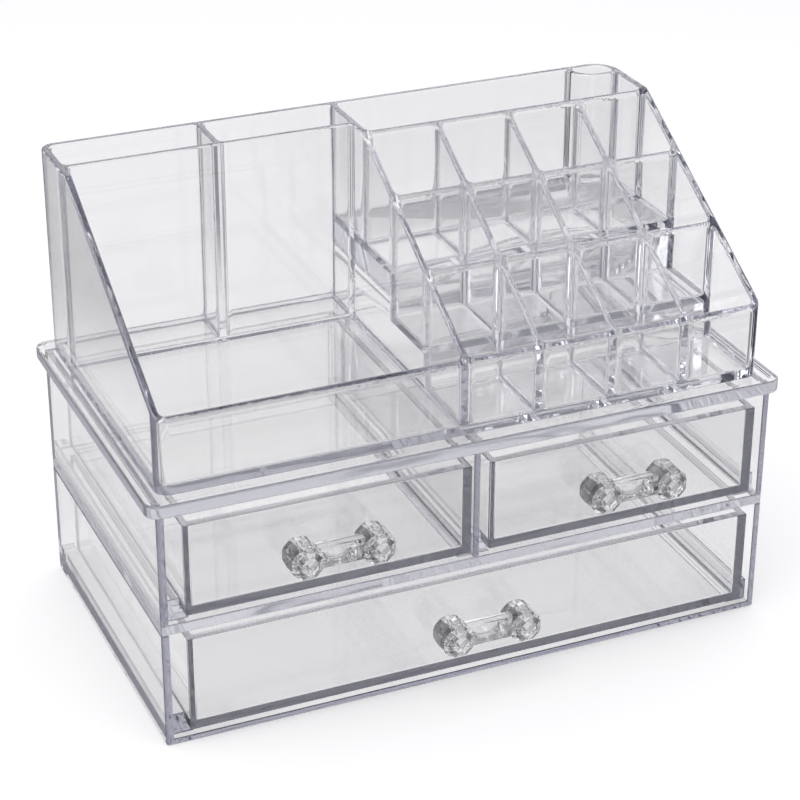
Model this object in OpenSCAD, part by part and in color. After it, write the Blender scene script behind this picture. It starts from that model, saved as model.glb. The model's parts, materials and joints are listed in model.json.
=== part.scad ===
// Clear makeup organizer: a three-drawer case with a flat plate on top,
// and a lift-off tray with brush bins, an open tray, a stepped lipstick rack and a pen tube.
// Millimetres. The origin is the centre of the underside, the drawers open towards -Y.

/* [Case] */
// Width of the drawer case
case_w = 233; // [200:1:300]
// Depth of the drawer case
case_d = 131; // [110:1:180]
// Height of the lower drawer bay's shell, up to the shelf
lower_shell_h = 44.5; // [38:0.5:70]
// Height of the upper drawer bay's shell, from the shelf to the top plate
upper_shell_h = 42.5; // [36:0.5:70]
// Thickness of the case's side and back walls
case_wall = 2.7; // [2:0.1:4]
// Thickness of the case's floor
case_floor_t = 2.4; // [1.6:0.1:4]
// Thickness of the shelf between the two shells
shelf_t = 4; // [3:0.5:6]
// Radius of the case's upright corners
case_corner_r = 1.2; // [0.6:0.1:5]
// Thickness of the wall between the two upper drawers
divider_t = 2.4; // [1.6:0.1:4]

/* [Top plate] */
// How far the plate reaches past the case at each side
plate_side_reach = 3.5; // [0:0.5:8]
// How far the plate reaches past the case at the front and the back
plate_front_reach = 2.5; // [0:0.5:8]
// Thickness of the plate under the tray
plate_t = 4; // [3:0.5:8]
// Width of the raised rim round the plate
rim_w = 3; // [2:0.5:5]
// Height of the raised rim above the plate
rim_h = 1; // [0.5:0.1:3]
// Radius of the plate's corners
plate_corner_r = 5; // [4:0.5:10]

/* [Runners] */
// Height of the runners that carry a drawer
runner_h = 4; // [2:0.5:6]
// Width that a runner reaches in from its wall
runner_w = 7.6; // [7:0.2:12]
// Height of the guide that stands on a runner beside the drawer
guide_h = 4; // [2:0.5:8]
// How far the runners' front ends stand back from the case's front
runner_setback = 3; // [1:0.5:10]

/* [Drawers] */
// Clearance under a drawer and beside it, at the runners and guides
slide_gap = 0.3; // [0.2:0.1:0.6]
// Gap between a drawer's side and the case's side wall
side_gap = 5.2; // [3:0.1:8]
// Gap between an upper drawer and the plane in the middle of the case
middle_gap = 3.5; // [3:0.1:6]
// Gap between an upper drawer's top and the plate
upper_top_gap = 3.7; // [1:0.1:6]
// Gap between the lower drawer's top and the shelf
lower_top_gap = 1.3; // [1:0.1:6]
// Thickness of a drawer's sides
drawer_side_t = 3.2; // [1.6:0.1:4]
// Thickness of a drawer's back and floor
drawer_wall = 2; // [1.6:0.1:3]
// Thickness of a drawer's front
front_t = 4.5; // [3:0.1:6]
// How far a closed drawer's front stands out of the case
front_proud = 3.1; // [1:0.1:6]
// Gap behind a closed drawer, up to the case's back wall
back_gap = 2.8; // [1:0.1:8]
// Radius of the upright corners inside a drawer
drawer_corner_r = 1.6; // [1:0.1:4]

/* [Handles] */
// Width of a gem knob across its flats
knob_w = 12.7; // [9:0.1:16]
// Width of the flat table on a knob's face
knob_table_w = 8.2; // [4:0.1:8.6]
// Width of a knob's foot where it is bonded to the drawer
knob_foot_w = 8; // [5:0.1:8.6]
// Length of the tapered foot behind a knob's girdle
knob_foot_l = 2.6; // [1:0.1:5]
// Length of a knob's straight girdle
knob_girdle_l = 9.8; // [9.5:0.1:14]
// Length of the bevelled crown in front of the girdle
knob_crown_l = 2.6; // [1:0.1:5]
// Distance between the two knobs of a handle
knob_pitch = 26; // [22:0.5:60]
// Diameter of the round bar between the knobs
bar_d = 9; // [6:0.1:9]
// Depth of the pocket in a knob that the bar's end sits in
bar_socket = 2; // [1:0.1:4]

/* [Tray] */
// Height of the tray
tray_h = 80; // [66:1:120]
// Gap between the tray and the plate's rim at each side
tray_side_gap = 3; // [0.5:0.5:12]
// Gap between the tray and the plate's rim at the front
tray_front_gap = 4.5; // [0.5:0.5:12]
// Gap between the tray and the plate's rim at the back
tray_back_gap = 1.5; // [0.5:0.5:12]
// Thickness of the tray's outer walls
tray_wall = 2.8; // [2:0.1:4]
// Thickness of the walls inside the tray
inner_wall = 2.4; // [1.6:0.1:3.2]
// Thickness of the tray's floors
tray_floor_t = 2.5; // [1.6:0.1:4]
// Radius of the tray's outer corners
tray_corner_r = 5; // [4:0.5:9]
// Radius of the tray's outer corner at the pen tube
tube_corner_r = 9.8; // [6:0.1:10]
// Depth of the flat stretch of the tray's rim, in front of its back
flat_rim_d = 32.5; // [20:0.5:45]
// Angle at which the tray's rim slopes down to the front
rim_slope = 30; // [15:1:32]

/* [Bins and rack] */
// Place of the wall between the two brush bins
bin_wall_x = -54.5; // [-70:0.5:-40]
// Place of the wall between the open tray and the rack
rack_wall_x = -2; // [-20:0.5:20]
// Distance from the tray's back to the middle of the brush bins' front wall
bin_d = 23.5; // [18:0.5:30]
// Distance from the tray's back to the middle of the wall behind the top row of the rack
trough_d = 33.7; // [30:0.5:40]
// Distance between the cross walls of the rack's top row
top_row_pitch = 26.2; // [20:0.1:30]
// Distance between the cross walls of the rack's middle row
middle_row_pitch = 29.4; // [20:0.1:32]
// Number of columns in the rack
columns = 4; // [2:1:6]
// Height of the rack's top floor above the tray's underside
top_floor_h = 36.2; // [30:0.1:40]
// Height of the rack's middle floor above the tray's underside
middle_floor_h = 17.7; // [10:0.1:24]
// Width of the pen tube's opening
tube_w = 14.2; // [10:0.1:20]
// Depth of the pen tube's opening
tube_d = 8.2; // [6:0.1:9]
// Thickness of the pen tube's wall
tube_wall = 2.2; // [1.6:0.1:3]

/* [Hidden] */
$fn = 48;
// Clear plastic, as in the photograph
clear = [0.86, 0.88, 0.93, 0.35];
// Extra length that takes a cut clear of the face it opens
cut = 1;

// Heights of the case, from the ground up
shelf_z = lower_shell_h;
upper_z = shelf_z + shelf_t;
case_h = upper_z + upper_shell_h;
deck_z = case_h + plate_t;
plate_w = case_w + 2 * plate_side_reach;
plate_d = case_d + 2 * plate_front_reach;

// Inside of the case
bay_x = case_w / 2 - case_wall;
bay_front_y = -case_d / 2;
bay_back_y = case_d / 2 - case_wall;

// Drawers
front_y = bay_front_y - front_proud;
drawer_back_y = bay_back_y - back_gap;
drawer_side_x = bay_x - side_gap;
lower_drawer_z = case_floor_t + runner_h + slide_gap;
lower_drawer_h = shelf_z - lower_top_gap - lower_drawer_z;
upper_drawer_z = upper_z + runner_h + slide_gap;
upper_drawer_h = case_h - upper_top_gap - upper_drawer_z;
upper_drawer_w = drawer_side_x - middle_gap;
upper_drawer_x = (drawer_side_x + middle_gap) / 2;
// Thickness of the guides, which fill the gap beside a drawer up to its clearance
side_guide_t = side_gap - slide_gap;
middle_guide_t = middle_gap - divider_t / 2 - slide_gap;
// The middle runners reach as far under the drawers as the side ones do
middle_runner_w = middle_guide_t + runner_w - side_guide_t;

// Handles: the bar's axis lies in the middle of the girdle
bar_y = front_y - knob_foot_l - knob_girdle_l / 2;
bar_l = knob_pitch - knob_w + 2 * bar_socket;
knob_l = knob_foot_l + knob_girdle_l + knob_crown_l;
upper_handle_z = upper_drawer_z + upper_drawer_h / 2;
lower_handle_z = lower_drawer_z + lower_drawer_h / 2;

// Outside and inside of the tray, which stands inside the plate's rim
tray_w = plate_w - 2 * (rim_w + tray_side_gap);
tray_back_y = plate_d / 2 - rim_w - tray_back_gap;
tray_front_y = -plate_d / 2 + rim_w + tray_front_gap;
tray_d = tray_back_y - tray_front_y;
tray_top_z = deck_z + tray_h;
tray_floor_z = deck_z + tray_floor_t;
slope_y = tray_back_y - flat_rim_d;
in_left_x = -tray_w / 2 + tray_wall;
in_right_x = tray_w / 2 - tray_wall;
in_front_y = tray_front_y + tray_wall;
in_back_y = tray_back_y - tray_wall;

// Walls and floors of the bins and the rack; each y is the middle of a cross wall
bin_y = tray_back_y - bin_d;
trough_y = tray_back_y - trough_d;
row_y = [trough_y, trough_y - top_row_pitch, trough_y - top_row_pitch - middle_row_pitch];
rack_x0 = rack_wall_x + inner_wall / 2;
rack_x1 = in_right_x;
// Back faces of the middle and the front cross wall, where the higher floors end
rack_middle_y = row_y[1] + inner_wall / 2;
rack_front_y = row_y[2] + inner_wall / 2;
column_pitch = (rack_x1 - rack_x0 + inner_wall) / columns;
column_w = column_pitch - inner_wall;
top_floor_z = deck_z + top_floor_h;
middle_floor_z = deck_z + middle_floor_h;

// Height of the tray's rim at a distance y
function rim_z(y) = tray_top_z - max(0, slope_y - y) * tan(rim_slope);
// Left edge of the rack's column i
function column_x(i) = rack_x0 + i * column_pitch;

// Flat rectangle with rounded corners, centred
module rounded_rect(w, d, r) {
    square([w - 2 * r, d], center = true);
    square([w, d - 2 * r], center = true);
    for (x = [-1, 1], y = [-1, 1])
        translate([x * (w / 2 - r), y * (d / 2 - r)]) circle(r);
}

// Flat rectangle between two corners, whose corner at [low x, low y] is rounded
module one_round_corner(low, high, r) {
    translate([low[0] + r, low[1]]) square([high[0] - low[0] - r, high[1] - low[1]]);
    translate([low[0], low[1] + r]) square([high[0] - low[0], high[1] - low[1] - r]);
    intersection() {
        translate([low[0] + r, low[1] + r]) circle(r);
        translate(low) square(high - low);
    }
}

// Plan of the tray, inset from its outer faces; the corner at the pen tube is rounder
module tray_plan(inset) {
    intersection() {
        translate([0, (tray_front_y + tray_back_y) / 2])
            rounded_rect(tray_w - 2 * inset, tray_d - 2 * inset, tray_corner_r - inset);
        rotate(180) one_round_corner(
            [inset - tray_w / 2, inset - tray_back_y], [tray_w, tray_d], tube_corner_r - inset);
    }
}

// Block between two corners
module block(low, high) {
    translate(low) cube(high - low);
}

// Wall with its side outline given in Y and Z, from x to x + t
module side_wall(x, t, outline) {
    translate([x, 0, 0]) rotate([90, 0, 90]) linear_extrude(t) polygon(outline);
}

// Shell of one drawer bay: two sides and a back, open at the front
module bay_walls(z, h) {
    translate([0, 0, z]) linear_extrude(h) difference() {
        rounded_rect(case_w, case_d, case_corner_r);
        translate([-bay_x, bay_front_y - cut])
            square([2 * bay_x, bay_back_y - bay_front_y + cut]);
    }
}

// Runner with its guide along a wall that stands at x, on the side given by dir
module runner(x, dir, z, reach, guide_t) {
    y0 = bay_front_y + runner_setback;
    foot = x + dir * reach;
    guide = x + dir * guide_t;
    block([min(x, foot), y0, z], [max(x, foot), bay_back_y, z + runner_h]);
    block([min(x, guide), y0, z], [max(x, guide), bay_back_y, z + runner_h + guide_h]);
}

// Two runners along the case's side walls
module side_runners(z) {
    for (dir = [-1, 1]) runner(-dir * bay_x, dir, z, runner_w, side_guide_t);
}

module lower_shell() {
    color(clear) {
        bay_walls(0, lower_shell_h);
        linear_extrude(case_floor_t) rounded_rect(case_w, case_d, case_corner_r);
        side_runners(case_floor_t);
    }
}

// The shelf's edge shows between the two shells; the upper runners stand on it
module middle_shelf() {
    color(clear) {
        translate([0, 0, shelf_z]) linear_extrude(shelf_t)
            rounded_rect(case_w, case_d, case_corner_r);
        side_runners(upper_z);
        for (dir = [-1, 1])
            runner(dir * divider_t / 2, dir, upper_z, middle_runner_w, middle_guide_t);
    }
}

module upper_shell() {
    color(clear) bay_walls(upper_z, upper_shell_h);
}

module drawer_divider() {
    color(clear) block([-divider_t / 2, bay_front_y, upper_z], [divider_t / 2, bay_back_y, case_h]);
}

module top_plate() {
    color(clear) translate([0, 0, case_h]) difference() {
        linear_extrude(plate_t + rim_h) rounded_rect(plate_w, plate_d, plate_corner_r);
        translate([0, 0, plate_t]) linear_extrude(rim_h + cut)
            rounded_rect(plate_w - 2 * rim_w, plate_d - 2 * rim_w, plate_corner_r - rim_w);
    }
}

// Open drawer with its thick front, centred on x
module drawer(x, z, w, h) {
    in_front = front_y + front_t;
    in_back = drawer_back_y - drawer_wall;
    color(clear) translate([x, 0, z]) difference() {
        block([-w / 2, front_y, 0], [w / 2, drawer_back_y, h]);
        translate([0, (in_front + in_back) / 2, drawer_wall]) linear_extrude(h)
            rounded_rect(w - 2 * drawer_side_t, in_back - in_front, drawer_corner_r);
    }
}

module left_drawer() { drawer(-upper_drawer_x, upper_drawer_z, upper_drawer_w, upper_drawer_h); }
module right_drawer() { drawer(upper_drawer_x, upper_drawer_z, upper_drawer_w, upper_drawer_h); }
module lower_drawer() { drawer(0, lower_drawer_z, 2 * drawer_side_x, lower_drawer_h); }

// Disc with eight flat sides, w across the flats, between two depths in front of the drawer
module octagon(w, y0, y1) {
    translate([0, front_y - y0, 0]) rotate([90, 22.5, 0])
        cylinder(h = y1 - y0, d = w / cos(22.5), $fn = 8);
}

// Gem knob, centred on x; the bar's pocket opens on the side given by dir
module knob(x, z, dir) {
    skin = 0.02;
    color(clear) translate([x, 0, z]) difference() {
        hull() {
            octagon(knob_foot_w, 0, skin);
            octagon(knob_w, knob_foot_l, knob_foot_l + knob_girdle_l);
            octagon(knob_table_w, knob_l - skin, knob_l);
        }
        translate([dir * (knob_w / 2 - bar_socket), bar_y, 0]) rotate([0, dir * 90, 0])
            cylinder(h = bar_socket + cut, d = bar_d);
    }
}

module knob_a(x, z) { knob(x - knob_pitch / 2, z, 1); }
module knob_b(x, z) { knob(x + knob_pitch / 2, z, -1); }

module handle_bar(x, z) {
    color(clear) translate([x - bar_l / 2, bar_y, z]) rotate([0, 90, 0])
        cylinder(h = bar_l, d = bar_d);
}

// Outline from z0 up to the tray's rim between two distances y, in Y and Z
function tray_side(y0, y1, z0) = [
    [y0, z0], [y1, z0], [y1, rim_z(y1)],
    if (y1 > slope_y && y0 < slope_y) [slope_y, tray_top_z],
    [y0, rim_z(y0)]];

// Floor and outer walls; the floor is left out under the raised part of the rack
module tray_shell() {
    color(clear) difference() {
        translate([0, 0, deck_z]) linear_extrude(tray_h) tray_plan(0);
        translate([0, 0, tray_floor_z]) linear_extrude(tray_h) tray_plan(tray_wall);
        rack_part(rack_front_y, deck_z - cut, tray_floor_z + cut);
        side_wall(-tray_w / 2 - cut, tray_w + 2 * cut, [
            [tray_front_y - cut, rim_z(tray_front_y - cut)],
            [slope_y, tray_top_z],
            [slope_y, tray_top_z + cut],
            [tray_front_y - cut, tray_top_z + cut]]);
    }
}

// Block behind y0 and between two heights that fills the rack's side of the tray
module rack_part(y0, z0, z1) {
    intersection() {
        translate([0, 0, z0]) linear_extrude(z1 - z0) tray_plan(tray_wall);
        block([rack_x0, y0, z0], [rack_x1 + cut, in_back_y + cut, z1]);
    }
}

module brush_bin_front_wall() {
    color(clear) block([in_left_x, bin_y - inner_wall / 2, tray_floor_z],
        [rack_x0 - inner_wall, bin_y + inner_wall / 2, tray_top_z]);
}

module brush_bin_divider() {
    color(clear) block([bin_wall_x - inner_wall / 2, bin_y + inner_wall / 2, tray_floor_z],
        [bin_wall_x + inner_wall / 2, in_back_y, tray_top_z]);
}

// Sloped wall between the open tray and the rack
module rack_side_wall() {
    color(clear) side_wall(rack_x0 - inner_wall, inner_wall,
        tray_side(in_front_y, in_back_y, tray_floor_z));
}

// Floor of the trough and of the rack's top row
module rack_top_floor() {
    color(clear) rack_part(rack_middle_y, top_floor_z - tray_floor_t, top_floor_z);
}

module rack_middle_floor() {
    color(clear) block([rack_x0, rack_front_y, middle_floor_z - tray_floor_t],
        [rack_x1, rack_middle_y - inner_wall, middle_floor_z]);
}

// Wall between the trough and the rack's top row
module rack_back_cross_wall() {
    y0 = row_y[0] - inner_wall / 2;
    color(clear) side_wall(rack_x0, rack_x1 - rack_x0, tray_side(y0, y0 + inner_wall, top_floor_z));
}

// One cross wall between the columns, standing in front of a higher floor
module cross_wall(row, z) {
    y0 = row_y[row] - inner_wall / 2;
    color(clear) for (i = [0:columns - 1])
        side_wall(column_x(i), column_w, tray_side(y0, y0 + inner_wall, z));
}

module rack_middle_cross_wall() { cross_wall(1, middle_floor_z - tray_floor_t); }
module rack_front_cross_wall() { cross_wall(2, tray_floor_z); }

// Walls between the rack's columns, stepped underneath like its floors
module rack_column_walls() {
    back = row_y[0] - inner_wall / 2;
    color(clear) for (i = [1:columns - 1])
        side_wall(column_x(i) - inner_wall, inner_wall, [
            [in_front_y, tray_floor_z], [rack_front_y, tray_floor_z],
            [rack_front_y, middle_floor_z], [rack_middle_y, middle_floor_z],
            [rack_middle_y, top_floor_z], [back, top_floor_z],
            [back, rim_z(back)], [in_front_y, rim_z(in_front_y)]]);
}

// Curved wall that makes a leaf-shaped tube for pens in the tray's back right corner
module pen_tube() {
    low = [in_right_x - tube_w, in_back_y - tube_d];
    high = [in_right_x, in_back_y];
    tube_r = tube_corner_r - tray_wall;
    color(clear) translate([0, 0, top_floor_z]) linear_extrude(tray_top_z - top_floor_z)
        difference() {
            one_round_corner(low - [tube_wall, tube_wall], high, tube_r + tube_wall);
            one_round_corner(low, high + [cut, cut], tube_r);
        }
}

lower_shell();
middle_shelf();
upper_shell();
drawer_divider();
top_plate();
left_drawer();
right_drawer();
lower_drawer();
handle_bar(-upper_drawer_x, upper_handle_z);  // left_drawer_bar
handle_bar(upper_drawer_x, upper_handle_z);  // right_drawer_bar
handle_bar(0, lower_handle_z);  // lower_drawer_bar
knob_a(-upper_drawer_x, upper_handle_z);  // left_drawer_knob_a
knob_b(-upper_drawer_x, upper_handle_z);  // left_drawer_knob_b
knob_a(upper_drawer_x, upper_handle_z);  // right_drawer_knob_a
knob_b(upper_drawer_x, upper_handle_z);  // right_drawer_knob_b
knob_a(0, lower_handle_z);  // lower_drawer_knob_a
knob_b(0, lower_handle_z);  // lower_drawer_knob_b
tray_shell();
brush_bin_front_wall();
brush_bin_divider();
rack_side_wall();
rack_top_floor();
rack_middle_floor();
rack_back_cross_wall();
rack_middle_cross_wall();
rack_front_cross_wall();
rack_column_walls();
pen_tube();
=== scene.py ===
import json

import bmesh
import bpy
import numpy as np
from mathutils import Euler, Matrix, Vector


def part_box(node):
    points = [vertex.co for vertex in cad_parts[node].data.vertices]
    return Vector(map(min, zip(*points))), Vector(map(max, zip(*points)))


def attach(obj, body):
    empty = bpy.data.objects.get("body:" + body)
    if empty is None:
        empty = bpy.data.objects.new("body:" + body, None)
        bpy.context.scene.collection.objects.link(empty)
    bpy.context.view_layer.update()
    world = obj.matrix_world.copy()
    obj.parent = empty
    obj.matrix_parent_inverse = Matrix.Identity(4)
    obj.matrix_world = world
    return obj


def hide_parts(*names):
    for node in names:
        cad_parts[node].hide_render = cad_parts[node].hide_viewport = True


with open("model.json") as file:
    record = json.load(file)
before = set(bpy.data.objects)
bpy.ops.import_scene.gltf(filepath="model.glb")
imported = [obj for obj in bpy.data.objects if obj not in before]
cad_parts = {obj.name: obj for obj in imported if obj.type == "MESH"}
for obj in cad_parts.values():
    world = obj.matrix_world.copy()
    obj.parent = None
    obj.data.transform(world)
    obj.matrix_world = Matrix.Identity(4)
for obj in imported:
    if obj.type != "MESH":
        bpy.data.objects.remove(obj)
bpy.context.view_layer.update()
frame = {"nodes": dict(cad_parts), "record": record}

scene = bpy.context.scene

# ---------------------------------------------------------------------------
# Camera. It stands to the left and well above the organizer, looking down on
# it through a long lens, as the photograph was taken.
camera_data = bpy.data.cameras.new("camera")
camera_data.lens = 108.75
camera_data.sensor_width = 36.0
camera_data.shift_x = 0.0204
camera_data.shift_y = -0.0017
camera_data.clip_start = 0.01
camera = bpy.data.objects.new("camera", camera_data)
camera.location = (-0.3173, -0.7254, 0.4876)
camera.rotation_euler = Euler(np.radians((62.78, 0.0, -23.13)).tolist())
scene.collection.objects.link(camera)
scene.camera = camera
scene.view_settings.view_transform = "Standard"

# Light crosses up to thirty plastic walls on its way through the tray, so the
# paths may be long. Lamp light reaches the floor through the plastic directly.
LONGEST_PATH = 64
scene.cycles.max_bounces = LONGEST_PATH
scene.cycles.transmission_bounces = LONGEST_PATH
scene.cycles.glossy_bounces = LONGEST_PATH
scene.cycles.transparent_max_bounces = LONGEST_PATH
scene.cycles.caustics_reflective = False
scene.cycles.caustics_refractive = False


# ---------------------------------------------------------------------------
# Studio: a pale sweep of floor, a bright band of sky between two darker ones,
# and one large soft lamp. The darker bands draw the plastic's edges.
class Wire:
    """One output of a shader node. Arithmetic on it adds Math nodes to the same tree."""

    def __init__(self, tree, socket):
        self.tree, self.socket = tree, socket

    def node(self, kind, settings, sockets, output=0):
        """Adds a node: its settings are set first, then its sockets get values or wires."""
        made = self.tree.nodes.new(kind)
        for name, value in settings.items():
            if name == "stops":
                while len(made.color_ramp.elements) < len(value):
                    made.color_ramp.elements.new(0.5)
                for element, (place, colour) in zip(made.color_ramp.elements, value):
                    element.position, element.color = place, colour
            else:
                setattr(made, name, value)
        for name, value in sockets.items():
            if isinstance(value, Wire):
                self.tree.links.new(value.socket, made.inputs[name])
            else:
                made.inputs[name].default_value = value
        return Wire(self.tree, made.outputs[output])

    def _math(self, operation, first, second):
        return self.node("ShaderNodeMath", {"operation": operation}, {0: first, 1: second})

    def __add__(self, other):
        return self._math("ADD", self, other)

    def __radd__(self, other):
        return self._math("ADD", other, self)

    def __sub__(self, other):
        return self._math("SUBTRACT", self, other)

    def __rsub__(self, other):
        return self._math("SUBTRACT", other, self)

    def __mul__(self, other):
        return self._math("MULTIPLY", self, other)

    def __rmul__(self, other):
        return self._math("MULTIPLY", other, self)


def empty_tree(owner, output_kind):
    """Clears a material's or the world's nodes; gives a Wire to build from, and the output node."""
    owner.use_nodes = True
    owner.node_tree.nodes.clear()
    output = owner.node_tree.nodes.new(output_kind)
    return Wire(owner.node_tree, None), output


WHITE = (1.0, 1.0, 1.0, 1)
BLACK = (0.0, 0.0, 0.0, 1)
CEILING_GREY = (0.30, 0.30, 0.34, 1)

world = bpy.data.worlds.new("studio")
scene.world = world
sky, sky_output = empty_tree(world, "ShaderNodeOutputWorld")
direction = sky.node("ShaderNodeTexCoord", {}, {}, "Generated")
height = sky.node("ShaderNodeSeparateXYZ", {}, {0: direction}, "Z")
studio = sky.node("ShaderNodeValToRGB", {"stops": [
    (0.00, (0.35, 0.35, 0.38, 1)),
    (0.20, (0.45, 0.45, 0.48, 1)),
    (0.32, WHITE),
    (0.64, WHITE),
    (0.74, CEILING_GREY),
    (1.00, CEILING_GREY),
]}, {"Fac": height}, "Color")
seen_directly = sky.node("ShaderNodeLightPath", {}, {}, "Is Camera Ray")
sky_colour = sky.node("ShaderNodeMix", {"data_type": "RGBA"}, {0: seen_directly, 6: studio, 7: WHITE}, 2)
background = sky.node("ShaderNodeBackground", {}, {"Color": sky_colour, "Strength": 1.0})
world.node_tree.links.new(background.socket, sky_output.inputs["Surface"])

FLOOR_HALF = 6.0
FLOOR_GAP = 0.0003
floor_mesh = bpy.data.meshes.new("floor")
floor_corners = np.array([(-1, -1, 0), (1, -1, 0), (1, 1, 0), (-1, 1, 0)]) * FLOOR_HALF - (0, 0, FLOOR_GAP)
floor_mesh.from_pydata(floor_corners.tolist(), [], [(0, 1, 2, 3)])
floor = bpy.data.objects.new("floor", floor_mesh)
scene.collection.objects.link(floor)

# The paper is white to the camera, and whiter far off, where the lamp doesn't reach. Rays that come through
# the plastic or off it see painted dark reflections: two dark strips of floor, left and right of the camera's
# line of sight.
PAPER = (0.93, 0.93, 0.93, 1)
PAINTED_DARK_REFLECTION = (0.28, 0.28, 0.29, 1)
ACROSS_VIEW = (0.92, -0.393, 0.0)
PAINTED_DARK_STARTS, PAINTED_DARK_FULL, PAINTED_DARK_FADES, PAINTED_DARK_ENDS = 0.23, 0.30, 0.40, 0.52
# A painted pool of light under the case, seen only through the plastic: it lifts the case's shadow on the floor
PAINTED_POOL_OVAL = (5.0, 7.5, 0.0)
PAINTED_POOL_FADES, PAINTED_POOL_ENDS = 0.55, 1.0
FAR_STARTS, FAR_FULL = 0.20, 0.60
CAMERA_GLOW, FAR_GLOW = 0.27, 0.65
PLASTIC_GLOW, PAINTED_LIGHT_UNDER_CASE = 0.14, 0.42

paper = bpy.data.materials.new("white_paper")
sheet, sheet_output = empty_tree(paper, "ShaderNodeOutputMaterial")
to_camera = sheet.node("ShaderNodeLightPath", {}, {}, "Is Camera Ray")
through_plastic = sheet.node("ShaderNodeLightPath", {}, {}, "Is Transmission Ray")
mirrored = sheet.node("ShaderNodeLightPath", {}, {}, "Is Glossy Ray")
floor_place = sheet.node("ShaderNodeTexCoord", {}, {}, "Object")
# Painted light: an oval under the case where the floor glows to rays that come through the plastic
painted_pool_place = sheet.node("ShaderNodeVectorMath", {"operation": "MULTIPLY"}, {0: floor_place, 1: PAINTED_POOL_OVAL})
from_painted_pool = sheet.node("ShaderNodeVectorMath", {"operation": "LENGTH"}, {0: painted_pool_place}, "Value")
painted_light_under_case = sheet.node("ShaderNodeValToRGB", {"stops": [(PAINTED_POOL_FADES, WHITE), (PAINTED_POOL_ENDS, BLACK)]}, {
    "Fac": from_painted_pool})
across = sheet.node("ShaderNodeVectorMath", {"operation": "DOT_PRODUCT"}, {
    0: floor_place, 1: ACROSS_VIEW}, "Value")
aside = sheet.node("ShaderNodeMath", {"operation": "ABSOLUTE"}, {0: across})
# Painted dark reflections: two dark strips of floor that only rays through or off the plastic see
painted_dark_reflections = sheet.node("ShaderNodeValToRGB", {"stops": [
    (PAINTED_DARK_STARTS, PAPER), (PAINTED_DARK_FULL, PAINTED_DARK_REFLECTION), (PAINTED_DARK_FADES, PAINTED_DARK_REFLECTION), (PAINTED_DARK_ENDS, PAPER)]}, {"Fac": aside})
paper_and_painted_reflections = sheet.node("ShaderNodeMix", {"data_type": "RGBA"}, {
    0: through_plastic + mirrored, 6: PAPER, 7: painted_dark_reflections}, 2)
from_middle = sheet.node("ShaderNodeVectorMath", {"operation": "LENGTH"}, {0: floor_place}, "Value")
far_off = sheet.node("ShaderNodeValToRGB", {"stops": [(FAR_STARTS, BLACK), (FAR_FULL, WHITE)]}, {
    "Fac": (1 / FLOOR_HALF) * from_middle})
# Even white backdrop glow to the camera, plus painted light under the case for rays through the plastic
backdrop_glow_and_painted_light = (to_camera * (CAMERA_GLOW + FAR_GLOW * far_off)
        + through_plastic * (PLASTIC_GLOW * painted_dark_reflections + PAINTED_LIGHT_UNDER_CASE * painted_light_under_case))
sheet_shader = sheet.node("ShaderNodeBsdfPrincipled", {}, {
    "Base Color": paper_and_painted_reflections, "Roughness": 0.9, "Specular IOR Level": 0.0,
    "Emission Color": backdrop_glow_and_painted_light, "Emission Strength": 1.0})
paper.node_tree.links.new(sheet_shader.socket, sheet_output.inputs["Surface"])
floor_mesh.materials.append(paper)

lamp_data = bpy.data.lights.new("softbox", "AREA")
lamp_data.shape = "RECTANGLE"
lamp_data.size, lamp_data.size_y = 1.4, 0.9
lamp_data.energy = 12.0
lamp = bpy.data.objects.new("softbox", lamp_data)
lamp.location = (-0.5, -0.3, 1.5)
lamp.rotation_euler = Euler(np.radians((-12.0, -18.0, 0.0)).tolist())
scene.collection.objects.link(lamp)


# ---------------------------------------------------------------------------
# Drawer case: two moulded shells of clear plastic, with the shelf and the wall
# between the upper drawers bonded in. A hair of air at each bond draws the
# seams. The plastic is colourless through a wall and smoky along an edge.
BOND_GAP = 0.00004
SHELL_EDGE = 0.0005
SHARP_ANGLE = np.radians(50.0)
FLAT_ANGLE = np.radians(1.0)
MERGE_DISTANCE = 1e-6
NEAR = 1e-5
SHELL_TONE = (0.965, 0.965, 0.962, 1)
PLASTIC_TONE = (0.982, 0.982, 0.980, 1)
LAMP_TONE = (0.99, 0.99, 0.992, 1)
CASE_SMOKE = (0.41, 0.41, 0.52, 1)
FLOW_SCALE, SINK_SCALE, HAZE_SCALE = 28.0, 230.0, 90.0
SINK_STRETCH = (1.0, 0.3, 0.3)
RIPPLE_DEPTH = 0.0004
HAZE_ROUGHNESS = 0.03


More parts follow.
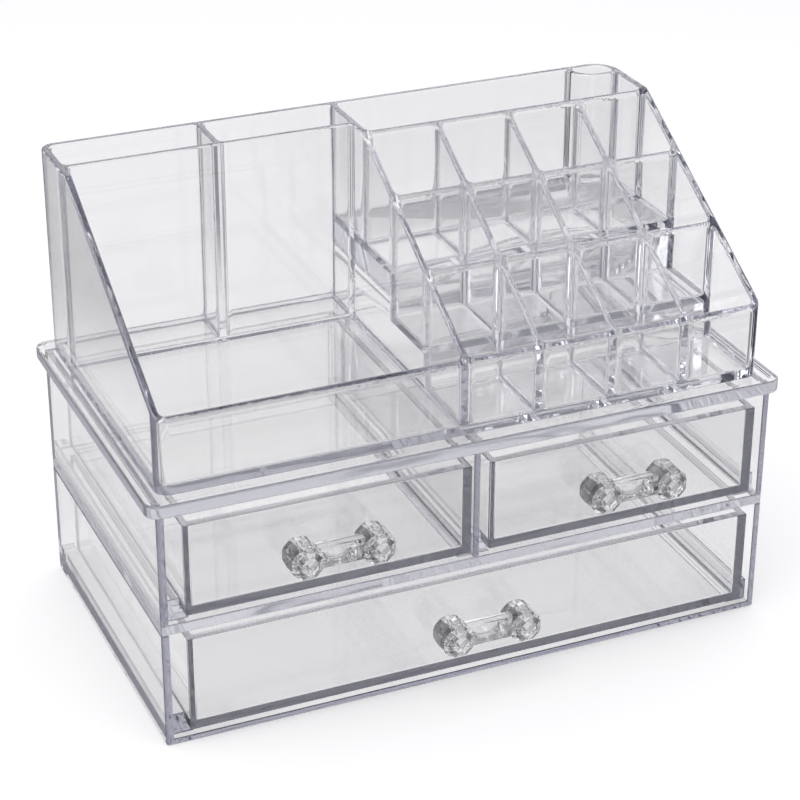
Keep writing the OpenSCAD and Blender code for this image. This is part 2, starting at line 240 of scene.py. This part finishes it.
def clear_plastic(name, smoke, density, waviness, top_ripple=0.0, index=1.5, tint_or_painted_reflections=PLASTIC_TONE):
    """Glossy clear plastic that takes light away over distance and lets lamp light through to the floor.
    Its skin is uneven by a slow noise, plus a fine one that fades out on upright and on level faces. Its
    colour is a plain tint, or a function that works out painted reflections from the surface's normal."""
    material = bpy.data.materials.new(name)
    start, output = empty_tree(material, "ShaderNodeOutputMaterial")
    place = start.node("ShaderNodeTexCoord", {}, {}, "Object")
    flow = start.node("ShaderNodeTexNoise", {}, {"Vector": place, "Scale": FLOW_SCALE, "Detail": 1.0})
    stretched = start.node("ShaderNodeVectorMath", {"operation": "MULTIPLY"}, {0: place, 1: SINK_STRETCH})
    sink = start.node("ShaderNodeTexNoise", {}, {"Vector": stretched, "Scale": SINK_SCALE, "Detail": 2.0})
    facing = start.node("ShaderNodeNewGeometry", {}, {}, "True Normal")
    upward = start.node("ShaderNodeSeparateXYZ", {}, {0: facing}, "Z")
    level = start.node("ShaderNodeMath", {"operation": "ABSOLUTE"}, {0: upward})
    haze = start.node("ShaderNodeTexNoise", {}, {"Vector": place, "Scale": HAZE_SCALE, "Detail": 3.0})
    ripple = start.node("ShaderNodeBump", {}, {
        "Strength": waviness, "Distance": RIPPLE_DEPTH,
        "Height": flow + top_ripple * (sink * (level * (1.0 - level)))})
    # The base colour is the plastic's tint, or, on the gem, painted reflections facet by facet
    body = start.node("ShaderNodeBsdfPrincipled", {}, {
        "Base Color": tint_or_painted_reflections(facing) if callable(tint_or_painted_reflections) else tint_or_painted_reflections, "IOR": index, "Transmission Weight": 1.0,
        "Roughness": HAZE_ROUGHNESS * haze, "Normal": ripple})
    lamp_ray = start.node("ShaderNodeLightPath", {}, {}, "Is Shadow Ray")
    gap = start.node("ShaderNodeBsdfTransparent", {}, {"Color": LAMP_TONE})
    surface = start.node("ShaderNodeMixShader", {}, {0: lamp_ray, 1: body, 2: gap})
    inside = start.node("ShaderNodeVolumeAbsorption", {}, {"Color": smoke, "Density": density})
    material.node_tree.links.new(surface.socket, output.inputs["Surface"])
    material.node_tree.links.new(inside.socket, output.inputs["Volume"])
    return material


def finish_piece(piece, body, nodes):
    """Puts a piece on its body, and hides the CAD nodes that it stands for."""
    scene.collection.objects.link(piece)
    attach(piece, body)
    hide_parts(*nodes)


def keep_flats(piece):
    """Smooth shading whose flat faces stay optically flat, so that only rounded edges bend light."""
    piece.data.polygons.foreach_set("use_smooth", np.ones(len(piece.data.polygons), bool))
    normals = piece.modifiers.new("flat_faces", "WEIGHTED_NORMAL")
    normals.mode = "FACE_AREA"
    normals.weight = 100


def shell_from(node, material, trim_low, trim_high, runners_on=None):
    """The CAD node's own shape, merged to whole faces, with rounded edges. Points that lie on a side of its
    box move in by the bond gap times that side's trim. The shelf's runners are also drawn back from what
    they stand between: the side walls, the drawer divider and the back, given with the shelf's top."""
    source = frame["nodes"][node].data
    low, high = (np.array(corner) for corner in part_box(node))
    mesh = bpy.data.meshes.new(node + "_moulding")
    faces = bmesh.new()
    faces.from_mesh(source)
    bmesh.ops.remove_doubles(faces, verts=faces.verts, dist=MERGE_DISTANCE)
    bmesh.ops.dissolve_limit(faces, angle_limit=FLAT_ANGLE, verts=faces.verts, edges=faces.edges)
    faces.to_mesh(mesh)
    faces.free()
    points = np.empty(len(mesh.vertices) * 3)
    mesh.vertices.foreach_get("co", points)
    points = points.reshape(-1, 3)
    for axis in range(3):
        points[points[:, axis] < low[axis] + NEAR, axis] += BOND_GAP * trim_low[axis]
        points[points[:, axis] > high[axis] - NEAR, axis] -= BOND_GAP * trim_high[axis]
    if runners_on:
        inner_x, divider_x, back_y, shelf_z = runners_on
        runner = points[:, 2] > shelf_z + NEAR
        side = runner & (np.abs(points[:, 0]) > inner_x - NEAR)
        middle = runner & (np.abs(points[:, 0]) < divider_x + NEAR)
        points[side, 0] -= BOND_GAP * np.sign(points[side, 0])
        points[middle, 0] += BOND_GAP * np.sign(points[middle, 0])
        points[runner & (points[:, 1] > back_y - NEAR), 1] -= BOND_GAP
    mesh.vertices.foreach_set("co", points.ravel())
    mesh.materials.clear()
    mesh.materials.append(material)
    piece = bpy.data.objects.new(node + "_moulding", mesh)
    edges = piece.modifiers.new("rounded_edges", "BEVEL")
    edges.width, edges.segments = SHELL_EDGE, 3
    edges.limit_method, edges.angle_limit = "ANGLE", SHARP_ANGLE
    finish_piece(piece, "case", [node])
    keep_flats(piece)


shell_plastic = clear_plastic("clear_shell_plastic", CASE_SMOKE, 11.0, waviness=0.3, tint_or_painted_reflections=SHELL_TONE)
shelf_plastic = clear_plastic("clear_shelf_plastic", CASE_SMOKE, 5.0, waviness=0.3)
divider_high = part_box("drawer_divider")[1]
upper_low, upper_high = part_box("upper_shell")
case_wall = upper_high.y - divider_high.y
shell_from("lower_shell", shell_plastic, (0, 0, 0), (0, 0, 1))
shell_from("middle_shelf", shelf_plastic, (0, 0, 0), (0, 0, 0),
           (upper_high.x - case_wall, divider_high.x, divider_high.y, upper_low.z))
shell_from("upper_shell", shell_plastic, (0, 0, 1), (0, 0, 1))
shell_from("drawer_divider", shell_plastic, (0, 0, 1), (0, 1, 1))


# ---------------------------------------------------------------------------
# Top plate: one clear moulding with a low rim that keeps the tray in place. It
# is bonded on the upper shell and reaches a little past it all round.
ARC_STEPS = 6
QUARTER = np.linspace(0, np.pi / 2, 5)
FALL, RISE = 1 - np.sin(QUARTER), 1 - np.cos(QUARTER)
PLATE_RIM_WIDTH = 0.003
PLATE_RIM_HEIGHT = 0.001
PLATE_CORNER = 0.005
PLATE_EDGE = 0.0009
RIM_EDGE = 0.0004


def outline(corners, radii, cuts=None):
    """Points and inward normals round an axis-aligned outline, anticlockwise. Each corner is an arc of its
    radius about a centre set in by that radius, bulging in where the outline turns right. cuts holds, for
    each side, places along it that get a point; they are kept within the side's straight part."""
    corners = np.asarray(corners, float)
    count = len(corners)
    along = np.roll(corners, -1, 0) - corners
    along /= np.linalg.norm(along, axis=1)[:, None]
    normals = np.stack([-along[:, 1], along[:, 0]], 1)
    sweep = np.linspace(0, 1, ARC_STEPS + 1)
    points, inward, ends = [], [], []
    for i in range(count):
        before, after = normals[i - 1], normals[i]
        turn = np.sign(before[0] * after[1] - before[1] * after[0])
        centre = corners[i] + turn * radii[i] * (before + after)
        angle = np.arctan2(before[1], before[0]) + turn * sweep * np.pi / 2
        arc_normal = np.stack([np.cos(angle), np.sin(angle)], 1)
        arc = centre - turn * radii[i] * arc_normal
        points.append(arc)
        inward.append(arc_normal)
        ends.append((arc[0], arc[-1]))
        if cuts is not None and len(cuts[i]):
            axis = int(abs(along[i][1]) > 0.5)
            points.append(np.zeros((len(cuts[i]), 2)))
            inward.append(np.repeat(after[None], len(cuts[i]), 0))
            points[-1][:, axis] = cuts[i]
            points[-1][:, 1 - axis] = arc[-1][1 - axis]
    if cuts is not None:
        place = 0
        for i in range(count):
            place += 1
            if len(cuts[i]):
                axis = int(abs(along[i][1]) > 0.5)
                span = sorted((ends[i][1][axis], ends[(i + 1) % count][0][axis]))
                points[place][:, axis] = np.clip(points[place][:, axis], *span)
                place += 1
    return np.concatenate(points), np.concatenate(inward)


def rectangle(x0, x1, y0, y1):
    """Corners of a rectangle, anticlockwise from its front left."""
    return [(x0, y0), (x1, y0), (x1, y1), (x0, y1)]


def ring(points, inward, inset, z):
    """One loop of a moulding's skin: the outline moved in by inset, at height z."""
    flat = points + inset * inward
    return np.column_stack([flat, np.broadcast_to(z, len(flat))])


def rings_along(points, inward, insets, heights):
    """One loop for each inset and height in turn, as along a rounded edge."""
    return [ring(points, inward, inset, z) for inset, z in zip(insets, heights)]


def skin(rings, cap_start, cap_end):
    """Vertices, quads and caps of the surface through a list of rings, with a flat cap at either end."""
    index = np.arange(len(rings) * len(rings[0])).reshape(len(rings), -1)
    beside = np.roll(index, -1, 1)
    quads = np.stack([index[:-1], beside[:-1], beside[1:], index[1:]], -1).reshape(-1, 4)
    caps = [index[0][::-1]] * cap_start + [index[-1]] * cap_end
    return np.concatenate(rings), quads, caps


def moulding(name, skins, material):
    """One mesh from several skins whose shared rims are merged."""
    vertices, faces, base = [], [], 0
    for points, quads, caps in skins:
        vertices.append(points)
        faces += (quads + base).tolist() + [(cap + base).tolist() for cap in caps]
        base += len(points)
    mesh = bpy.data.meshes.new(name)
    mesh.from_pydata(np.concatenate(vertices).tolist(), [], faces)
    clean = bmesh.new()
    clean.from_mesh(mesh)
    bmesh.ops.remove_doubles(clean, verts=clean.verts, dist=2 * MERGE_DISTANCE)
    bmesh.ops.dissolve_degenerate(clean, edges=clean.edges, dist=MERGE_DISTANCE)
    clean.to_mesh(mesh)
    clean.free()
    mesh.materials.append(material)
    return bpy.data.objects.new(name, mesh)


low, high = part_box("top_plate")
foot_z, deck_z = low.z + BOND_GAP, high.z - PLATE_RIM_HEIGHT
plate, plate_in = outline(rectangle(low.x, high.x, low.y, high.y), [PLATE_CORNER] * 4)
plate_rings = [
    *rings_along(plate, plate_in, PLATE_EDGE * FALL, foot_z + PLATE_EDGE * RISE),
    *rings_along(plate, plate_in, PLATE_EDGE * RISE, high.z - PLATE_EDGE * FALL),
    *rings_along(plate, plate_in, PLATE_RIM_WIDTH - RIM_EDGE * FALL, high.z - RIM_EDGE * RISE),
    *rings_along(plate, plate_in, PLATE_RIM_WIDTH + RIM_EDGE * RISE, deck_z + RIM_EDGE * FALL),
]
plate_piece = moulding("top_plate_moulding", [skin(plate_rings, True, True)], shelf_plastic)
finish_piece(plate_piece, "case", ["top_plate"])
keep_flats(plate_piece)


# ---------------------------------------------------------------------------
# Drawers: open boxes of clear plastic, each moulded in one with a thick front.
# They run on ribs of the case; the inside corners are slightly filleted.
DRAWERS = ("left_drawer", "right_drawer", "lower_drawer")
DRAWER_SIDE = 0.0025
DRAWER_WALL = 0.002
DRAWER_FRONT = 0.0033
DRAWER_EDGE = 0.0003
DRAWER_CORNER = 0.0004
DRAWER_FILLET = 0.0008


def drawer_rings(low, high):
    """Rings of a drawer's skin: bottom edge, outside, rim, inside and floor fillet, in that order."""
    outside, outside_in = outline(rectangle(low.x, high.x, low.y, high.y), [DRAWER_CORNER] * 4)
    inside, inside_in = outline(
        rectangle(low.x + DRAWER_SIDE, high.x - DRAWER_SIDE, low.y + DRAWER_FRONT, high.y - DRAWER_WALL),
        [DRAWER_FILLET] * 4)
    floor_z = low.z + DRAWER_WALL
    return [
        *rings_along(outside, outside_in, DRAWER_EDGE * FALL, low.z + DRAWER_EDGE * RISE),
        *rings_along(outside, outside_in, DRAWER_EDGE * RISE, high.z - DRAWER_EDGE * FALL),
        *rings_along(inside, inside_in, -DRAWER_EDGE * FALL, high.z - DRAWER_EDGE * RISE),
        *rings_along(inside, inside_in, DRAWER_FILLET * RISE, floor_z + DRAWER_FILLET * FALL),
    ]


drawer_plastic = clear_plastic("clear_drawer_plastic", (0.42, 0.42, 0.48, 1), 20.0, waviness=0.3)
for drawer in DRAWERS:
    drawer_piece = moulding(drawer + "_moulding", [skin(drawer_rings(*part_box(drawer)), True, True)],
                            drawer_plastic)
    finish_piece(drawer_piece, drawer + "_body", [drawer])
    keep_flats(drawer_piece)


# ---------------------------------------------------------------------------
# Handles: two cut-gem knobs joined by a round bar, all of the same clear
# plastic, polished. They are bonded to the drawer's front.
GEM_SHRINK = 0.93
GEM_SIDES = 8
GEM_RINGS = [  # share of the length from the drawer, share of the width, share of a side cut off at each corner
    (0.00, 0.58, 0.06), (0.07, 0.83, 0.06), (0.17, 1.00, 0.20), (0.50, 1.00, 0.05),
    (0.83, 1.00, 0.20), (0.93, 0.83, 0.06), (1.00, 0.52, 0.06)]
FACET_EDGE = 0.0002
FACET_ANGLE = np.radians(12.0)
FACET_TURN = (0.11, 0.02, 0.08)
FACET_STEP = (0.17, 0.17, 0.17)
# Painted shades for the gem's facets, dark, grey and white, that stand in for reflected surroundings
PAINTED_FACET_SHADES = [(0.40, (0.13, 0.13, 0.135, 1)), (0.50, (0.55, 0.55, 0.56, 1)), (0.58, WHITE)]
BAR_NORMAL = 0.02
BAR_SIDES = 48
SLIVER = 5e-6


def painted_facet_reflections(facing):
    """Painted reflections on the gem: each flat facet gets its own painted shade, dark, grey or white, by a
    number drawn from its normal rounded to a coarse step, standing in for the surroundings that the facets
    reflect. Where the normal has hardly any sideways part, as on the round bar, the colour is white."""
    turned = facing.node("ShaderNodeVectorMath", {"operation": "ADD"}, {0: facing, 1: FACET_TURN})
    facet = facing.node("ShaderNodeVectorMath", {"operation": "SNAP"}, {0: turned, 1: FACET_STEP})
    chance = facing.node("ShaderNodeTexWhiteNoise", {"noise_dimensions": "3D"}, {"Vector": facet})
    painted_shade = facing.node("ShaderNodeValToRGB", {"stops": PAINTED_FACET_SHADES}, {"Fac": chance})
    along_x = facing.node("ShaderNodeSeparateXYZ", {}, {0: facing}, "X")
    sideways = facing.node("ShaderNodeMath", {"operation": "ABSOLUTE"}, {0: along_x})
    round_bar = facing.node("ShaderNodeMath", {"operation": "LESS_THAN"}, {0: sideways, 1: BAR_NORMAL})
    return facing.node("ShaderNodeMix", {"data_type": "RGBA"}, {0: round_bar, 6: painted_shade, 7: WHITE}, 2)


def gem(low, high):
    """Rings of a cut gem along -Y. Each ring is an eight-sided section whose corners are cut off by a share
    of its side; the cuts widen where the girdle's flats end, which gives the kite-shaped facets."""
    centre_x, centre_z = (low.x + high.x) / 2, (low.z + high.z) / 2
    half = GEM_SHRINK * (high.x - low.x) / 2 / np.cos(np.pi / GEM_SIDES)
    turn = (np.arange(GEM_SIDES) + 0.5) * 2 * np.pi / GEM_SIDES
    corners = np.column_stack([np.cos(turn), np.sin(turn)])
    rings = []
    for share, width, cut in GEM_RINGS:
        y = high.y - BOND_GAP - share * GEM_SHRINK * (high.y - low.y)
        cut_before = corners + cut * (np.roll(corners, 1, 0) - corners)
        cut_after = corners + cut * (np.roll(corners, -1, 0) - corners)
        section = half * width * np.stack([cut_before, cut_after], 1).reshape(-1, 2)
        rings.append(np.column_stack([
            centre_x + section[:, 0], np.full(len(section), y), centre_z + section[:, 1]]))
    return rings


def bar(low, high):
    """Two rings of a round bar along X, whose ends lie inside the knobs."""
    turn = np.linspace(0, 2 * np.pi, BAR_SIDES + 1)[:-1]
    radius = (high.z - low.z) / 2
    centre_y, centre_z = (low.y + high.y) / 2, (low.z + high.z) / 2
    return [np.column_stack([
        np.full(len(turn), x), centre_y + radius * np.cos(turn), centre_z + radius * np.sin(turn)])
        for x in (low.x, high.x)]


def fuse(name, parts):
    """One closed mesh from parts that reach into each other, so that light runs through them all."""
    for part in parts:
        scene.collection.objects.link(part)
    for part in parts[1:]:
        joined = parts[0].modifiers.new("joined", "BOOLEAN")
        joined.operation, joined.solver, joined.object = "UNION", "EXACT", part
    evaluated = parts[0].evaluated_get(bpy.context.evaluated_depsgraph_get())
    mesh = bpy.data.meshes.new_from_object(evaluated)
    clean = bmesh.new()
    clean.from_mesh(mesh)
    bmesh.ops.remove_doubles(clean, verts=clean.verts, dist=SLIVER)
    bmesh.ops.dissolve_degenerate(clean, edges=clean.edges, dist=SLIVER)
    bmesh.ops.triangulate(clean, faces=[face for face in clean.faces if len(face.verts) > 4])
    bmesh.ops.dissolve_degenerate(clean, edges=clean.edges, dist=SLIVER)
    clean.to_mesh(mesh)
    clean.free()
    for part in parts:
        bpy.data.objects.remove(part)
    return bpy.data.objects.new(name, mesh)


# The gem's colour is painted reflections, a painted shade for each facet
gem_plastic = clear_plastic("clear_gem_plastic", (0.40, 0.40, 0.46, 1), 4.0, waviness=0.02, index=1.6,
                            tint_or_painted_reflections=painted_facet_reflections)
for drawer in DRAWERS:
    knobs = []
    for side in "ab":
        knob = moulding("knob", [skin(gem(*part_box(f"{drawer}_knob_{side}")), True, True)], gem_plastic)
        facet_edges = knob.modifiers.new("facet_edges", "BEVEL")
        facet_edges.width, facet_edges.segments = FACET_EDGE, 1
        facet_edges.limit_method, facet_edges.angle_limit = "ANGLE", FACET_ANGLE
        knobs.append(knob)
    rod = moulding("rod", [skin(bar(*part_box(drawer + "_bar")), True, True)], gem_plastic)
    rod.data.polygons.foreach_set("use_smooth", np.ones(len(rod.data.polygons), bool))
    handle_piece = fuse(drawer + "_handle", [knobs[0], rod, knobs[1]])
    finish_piece(handle_piece, drawer + "_body",
                 [drawer + "_bar", drawer + "_knob_a", drawer + "_knob_b"])


# ---------------------------------------------------------------------------
# Tray: one clear moulding with brush bins, an open tray, the stepped rack and
# its twelve slots, the trough behind it and the pen tube. It lifts off.
TRAY_WALL = 0.0028
TRAY_CORNER = 0.005
TUBE_CORNER = 0.0098
TUBE_WALL = 0.0022
TUBE_INNER = TUBE_CORNER - TRAY_WALL
TUBE_TIP = 0.0019
TUBE_JOIN = 0.0010
RIM_ROUND = 0.0009
POCKET_CORNER = 0.0021
POCKET_FILLET = 0.0016
HOLLOW_CORNER = 0.001
FOOT_EDGE = 0.0006
SLOPE_RISE = np.tan(np.radians(30.0))
FLAT_RIM_DEPTH = 0.0325
COLUMNS = 4

low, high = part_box("tray_shell")
tray_low, tray_high = np.array(low), np.array(high)
tray_low[2] += BOND_GAP
break_y = tray_high[1] - FLAT_RIM_DEPTH


def rim_z(y):
    """Height of the tray's rim: flat at the back, then one straight slope down to the front."""
    return tray_high[2] - np.maximum(0, break_y - y) * SLOPE_RISE


def node_span(node, axis):
    """Where a CAD node starts and ends along an axis."""
    low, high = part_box(node)
    return low[axis], high[axis]


in_x0, in_x1 = tray_low[0] + TRAY_WALL, tray_high[0] - TRAY_WALL
in_y0, in_y1 = tray_low[1] + TRAY_WALL, tray_high[1] - TRAY_WALL
bin_x, bin_y = node_span("brush_bin_divider", 0), node_span("brush_bin_front_wall", 1)
rack_x = node_span("rack_side_wall", 0)
back_y = node_span("rack_back_cross_wall", 1)
middle_y = node_span("rack_middle_cross_wall", 1)
front_y = node_span("rack_front_cross_wall", 1)
top_floor, middle_floor = node_span("rack_top_floor", 2), node_span("rack_middle_floor", 2)
tray_floor = node_span("rack_side_wall", 2)[0]
rack_wall = rack_x[1] - rack_x[0]
pitch = (in_x1 - rack_x[1] + rack_wall) / COLUMNS
tube_x, tube_y = node_span("pen_tube", 0)[0], node_span("pen_tube", 1)[0]

# Lines along the middles of the walls part the top into one cell per pocket
out_x0, out_x1 = tray_low[0] + RIM_ROUND, tray_high[0] - RIM_ROUND
out_y0, out_y1 = tray_low[1] + RIM_ROUND, tray_high[1] - RIM_ROUND
bin_mid, rack_mid = sum(bin_x) / 2, sum(rack_x) / 2
bin_line, back_line = sum(bin_y) / 2, sum(back_y) / 2
middle_line, front_line = sum(middle_y) / 2, sum(front_y) / 2
tube_line_x, tube_line_y = tube_x + TUBE_WALL / 2, tube_y + TUBE_WALL / 2
columns_x = [rack_x[1] + i * pitch - rack_wall / 2 for i in range(1, COLUMNS)]
cuts_x = [bin_mid, rack_mid, *columns_x, tube_line_x]
cuts_y = [front_line, middle_line, back_line, break_y, bin_line, tube_line_y]


def side_cuts(corners):
    """The wall lines that cross each side of a cell, in the side's own direction."""
    found = []
    for start, end in zip(corners, corners[1:] + corners[:1]):
        axis = int(abs(end[1] - start[1]) > abs(end[0] - start[0]))
        first, last = sorted((start[axis], end[axis]))
        inside = [cut for cut in (cuts_x, cuts_y)[axis]
                  if first + MERGE_DISTANCE < cut < last - MERGE_DISTANCE]
        found.append(sorted(inside, reverse=bool(end[axis] < start[axis])))
    return found


def rim_rings(points, inward, insets, drops):
    """One loop for each inset in turn, that many metres under the tray's rim wherever the loop then is."""
    return [ring(points, inward, inset, rim_z((points + inset * inward)[:, 1]) - drop)
            for inset, drop in zip(insets, drops)]


def pocket(corners, radii, cell, cell_radii, floor_z):
    """A pocket's skin: the flat top out to its cell, the rounded rim, the walls, the fillet, the floor."""
    cuts = side_cuts(cell)
    cell_points, cell_in = outline(cell, cell_radii, cuts)
    hole, hole_in = outline(corners, radii, cuts)
    return skin([
        ring(cell_points, cell_in, 0, rim_z(cell_points[:, 1])),
        *rim_rings(hole, hole_in, -RIM_ROUND * FALL, RIM_ROUND * RISE),
        *rings_along(hole, hole_in, POCKET_FILLET * RISE, floor_z + POCKET_FILLET * FALL),
    ], False, True)


def box_pocket(hole, cell, floor_z, outer=(0, 0, 0, 0)):
    """A rectangular pocket; outer holds the radii of the cell's corners that are corners of the tray."""
    return pocket(rectangle(*hole), [POCKET_CORNER] * 4, rectangle(*cell), outer, floor_z)


corner = TRAY_CORNER - RIM_ROUND
skins = [
    box_pocket((in_x0, bin_x[0], bin_y[1], in_y1), (out_x0, bin_mid, bin_line, out_y1),
               tray_floor, (0, 0, 0, corner)),
    box_pocket((bin_x[1], rack_x[0], bin_y[1], in_y1), (bin_mid, rack_mid, bin_line, out_y1),
               tray_floor),
    box_pocket((in_x0, rack_x[0], in_y0, bin_y[0]), (out_x0, rack_mid, out_y0, bin_line),
               tray_floor, (corner, 0, 0, 0)),
]
rack_rows = [
    (middle_y[1], back_y[0], middle_line, back_line, top_floor[1]),
    (front_y[1], middle_y[0], front_line, middle_line, middle_floor[1]),
    (in_y0, front_y[0], out_y0, front_line, tray_floor),
]
lines_x = [rack_mid, *columns_x, out_x1]
for y0, y1, line0, line1, floor_z in rack_rows:
    for i in range(COLUMNS):
        x0 = rack_x[1] + i * pitch
        at_corner = i == COLUMNS - 1 and line0 == out_y0
        skins.append(box_pocket((x0, x0 + pitch - rack_wall, y0, y1),
                                (lines_x[i], lines_x[i + 1], line0, line1),
                                floor_z, (0, corner if at_corner else 0, 0, 0)))

# The trough goes round the pen tube, whose leaf shape fills the back right corner
bend = TUBE_INNER + TUBE_WALL / 2
skins.append(pocket(
    [(rack_x[1], back_y[1]), (in_x1, back_y[1]), (in_x1, tube_y), (tube_x, tube_y),
     (tube_x, in_y1), (rack_x[1], in_y1)],
    [POCKET_CORNER, POCKET_CORNER, TUBE_TIP, TUBE_INNER + TUBE_WALL, TUBE_JOIN, POCKET_CORNER],
    [(rack_mid, back_line), (out_x1, back_line), (out_x1, tube_line_y), (tube_line_x, tube_line_y),
     (tube_line_x, out_y1), (rack_mid, out_y1)],
    [0, 0, 0, bend, 0, 0], top_floor[1]))
skins.append(pocket(
    rectangle(tube_x + TUBE_WALL, in_x1, tube_y + TUBE_WALL, in_y1),
    [TUBE_INNER, TUBE_TIP, TUBE_INNER, TUBE_TIP],
    rectangle(tube_line_x, out_x1, tube_line_y, out_y1),
    [bend, 0, TUBE_CORNER - RIM_ROUND, 0], top_floor[1]))

# Outside of the tray, and the hollow under the raised floors, open below
around = rectangle(tray_low[0], tray_high[0], tray_low[1], tray_high[1])
around_cuts = side_cuts(around)
hollow_corners = [HOLLOW_CORNER, HOLLOW_CORNER, TUBE_INNER, HOLLOW_CORNER]
outer, outer_in = outline(around, [TRAY_CORNER, TRAY_CORNER, TUBE_CORNER, TRAY_CORNER], around_cuts)
hollow, hollow_in = outline(rectangle(rack_x[1], in_x1, front_y[1], in_y1), hollow_corners, around_cuts)
raised, raised_in = outline(rectangle(rack_x[1], in_x1, middle_y[1], in_y1), hollow_corners, around_cuts)
outer_rings = [
    ring(raised, raised_in, 0, top_floor[0]),
    ring(raised, raised_in, 0, middle_floor[0]),
    ring(hollow, hollow_in, 0, middle_floor[0]),
    *rings_along(hollow, hollow_in, -RIM_ROUND * RISE, tray_low[2] + RIM_ROUND * FALL),
    *rings_along(outer, outer_in, FOOT_EDGE * FALL, tray_low[2] + FOOT_EDGE * RISE),
    *rim_rings(outer, outer_in, RIM_ROUND * RISE, RIM_ROUND * FALL),
]
skins.append(skin(outer_rings, True, False))
tray_plastic = clear_plastic("clear_tray_plastic", (0.41, 0.41, 0.51, 1), 11.0, waviness=0.25, top_ripple=30.0)
tray_piece = moulding("tray_moulding", skins, tray_plastic)
finish_piece(tray_piece, "tray", frame["record"]["behaviour"]["bodies"]["tray"])
keep_flats(tray_piece)
